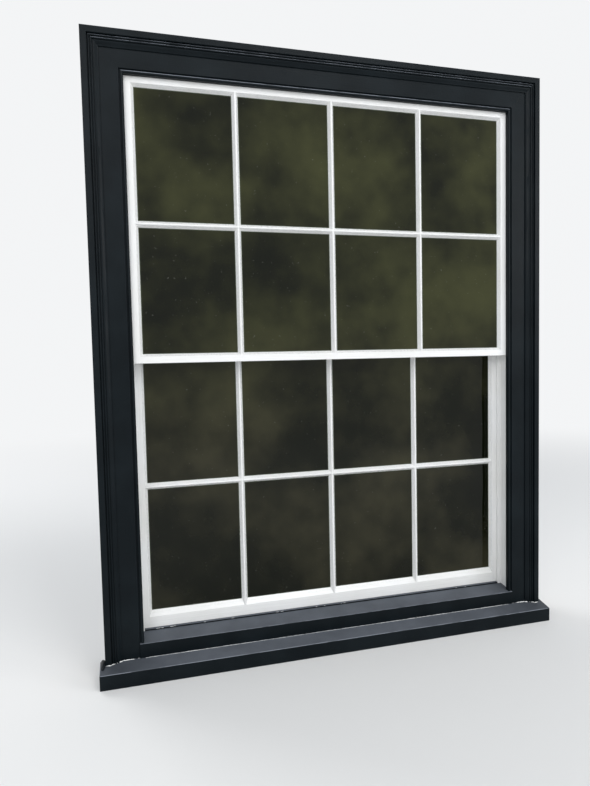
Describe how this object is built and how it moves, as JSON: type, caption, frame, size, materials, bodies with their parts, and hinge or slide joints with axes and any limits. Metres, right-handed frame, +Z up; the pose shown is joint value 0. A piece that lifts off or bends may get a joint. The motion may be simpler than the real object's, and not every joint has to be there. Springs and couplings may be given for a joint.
{
  "type": "sash window",
  "caption": "Double-hung box sash window with small panes, its moulded frame and sill, and sashes balanced by weights on cords and pulleys.",
  "frame": {"origin": "underside of the sub-sill, on the window's centre line, in the plane of the upper sash's outer face", "axes": "+X to the right as seen from outside, +Y through the wall into the room, +Z up"},
  "size_m": [1.486, 0.19, 1.8433],
  "materials": {
    "black_paint": "black satin paint on hardwood",
    "white_paint": "white gloss paint on softwood",
    "bare_wood": "bare pine",
    "putty": "linseed putty painted white",
    "glass": "clear, slightly wavy",
    "white_metal": "painted white",
    "brass": "tarnished",
    "steel": "plain",
    "cast_iron": "rough casting",
    "cord": "waxed cotton"
  },
  "bodies": {
    "frame": {"sub_sill": "black_paint", "sill": "black_paint", "head_board": "bare_wood", "pulley_stile_left": "white_paint", "pulley_stile_right": "white_paint", "pocket_covers": "white_paint", "back_linings": "bare_wood", "weight_dividers": "bare_wood", "outer_lining_left": "black_paint", "outer_lining_right": "black_paint", "outer_lining_head": "black_paint", "inner_lining_left": "white_paint", "inner_lining_right": "white_paint", "inner_lining_head": "white_paint", "architrave_left": "black_paint", "architrave_right": "black_paint", "architrave_head": "black_paint", "parting_bead_left": "white_paint", "parting_bead_right": "white_paint", "parting_bead_head": "white_paint", "staff_bead_left": "white_paint", "staff_bead_right": "white_paint", "staff_bead_head": "white_paint", "staff_bead_sill": "white_paint", "pulley_cases": "brass", "pulley_pins": "steel", "upper_cord_left": "cord", "upper_cord_right": "cord", "lower_cord_left": "cord", "lower_cord_right": "cord"},
    "upper_sash": {"upper_stile_left": "white_paint", "upper_stile_right": "white_paint", "upper_top_rail": "white_paint", "upper_meeting_rail": "white_paint", "upper_upright_bars": "white_paint", "upper_cross_bar": "white_paint", "upper_panes": "glass", "upper_putty": "putty", "fastener_keep": "white_metal"},
    "lower_sash": {"lower_stile_left": "white_paint", "lower_stile_right": "white_paint", "lower_bottom_rail": "white_paint", "lower_meeting_rail": "white_paint", "lower_upright_bars": "white_paint", "lower_cross_bar": "white_paint", "lower_panes": "glass", "lower_putty": "putty", "fastener_base": "white_metal", "sash_lifts": "white_metal"},
    "fastener_lever": {"fastener_lever": "white_metal"},
    "upper_weight_left": {"upper_weight_left": "cast_iron"},
    "upper_pulley_wheel_left": {"upper_pulley_wheel_left": "brass"},
    "upper_weight_right": {"upper_weight_right": "cast_iron"},
    "upper_pulley_wheel_right": {"upper_pulley_wheel_right": "brass"},
    "lower_weight_left": {"lower_weight_left": "cast_iron"},
    "lower_pulley_wheel_left": {"lower_pulley_wheel_left": "brass"},
    "lower_weight_right": {"lower_weight_right": "cast_iron"},
    "lower_pulley_wheel_right": {"lower_pulley_wheel_right": "brass"}
  },
  "joints": [
    {"name": "upper_sash_slide", "type": "slide", "parent": "frame", "child": "upper_sash", "axis": [0, 0, -1], "range_m": [0, 0.74], "deforming": ["upper_cord_left", "upper_cord_right"]},
    {"name": "lower_sash_slide", "type": "slide", "parent": "frame", "child": "lower_sash", "axis": [0, 0, 1], "range_m": [0, 0.74], "deforming": ["lower_cord_left", "lower_cord_right"]},
    {"name": "fastener_turn", "type": "hinge", "parent": "lower_sash", "child": "fastener_lever", "pos_m": [-0.024, 0.075, 0.95079], "axis": [0, 0, 1], "range_deg": [-90, 0]},
    {"name": "upper_weight_left_slide", "type": "slide", "parent": "frame", "child": "upper_weight_left", "axis": [0, 0, 1], "range_m": [0, 0.74]},
    {"name": "upper_pulley_wheel_left_spin", "type": "hinge", "parent": "frame", "child": "upper_pulley_wheel_left", "pos_m": [-0.649, 0.022, 1.61229], "axis": [0, 1, 0], "continuous": true},
    {"name": "upper_weight_right_slide", "type": "slide", "parent": "frame", "child": "upper_weight_right", "axis": [0, 0, 1], "range_m": [0, 0.74]},
    {"name": "upper_pulley_wheel_right_spin", "type": "hinge", "parent": "frame", "child": "upper_pulley_wheel_right", "pos_m": [0.649, 0.022, 1.61229], "axis": [0, 1, 0], "continuous": true},
    {"name": "lower_weight_left_slide", "type": "slide", "parent": "frame", "child": "lower_weight_left", "axis": [0, 0, -1], "range_m": [0, 0.74]},
    {"name": "lower_pulley_wheel_left_spin", "type": "hinge", "parent": "frame", "child": "lower_pulley_wheel_left", "pos_m": [-0.649, 0.075, 1.61229], "axis": [0, 1, 0], "continuous": true},
    {"name": "lower_weight_right_slide", "type": "slide", "parent": "frame", "child": "lower_weight_right", "axis": [0, 0, -1], "range_m": [0, 0.74]},
    {"name": "lower_pulley_wheel_right_spin", "type": "hinge", "parent": "frame", "child": "lower_pulley_wheel_right", "pos_m": [0.649, 0.075, 1.61229], "axis": [0, 1, 0], "continuous": true}
  ],
  "couplings": [
    {"joint": "upper_weight_left_slide", "follows": "upper_sash_slide", "ratio": 1},
    {"joint": "upper_pulley_wheel_left_spin", "follows": "upper_sash_slide", "rad_per_m": 37.736},
    {"joint": "upper_weight_right_slide", "follows": "upper_sash_slide", "ratio": 1},
    {"joint": "upper_pulley_wheel_right_spin", "follows": "upper_sash_slide", "rad_per_m": -37.736},
    {"joint": "lower_weight_left_slide", "follows": "lower_sash_slide", "ratio": 1},
    {"joint": "lower_pulley_wheel_left_spin", "follows": "lower_sash_slide", "rad_per_m": -37.736},
    {"joint": "lower_weight_right_slide", "follows": "lower_sash_slide", "ratio": 1},
    {"joint": "lower_pulley_wheel_right_spin", "follows": "lower_sash_slide", "rad_per_m": 37.736}
  ]
}
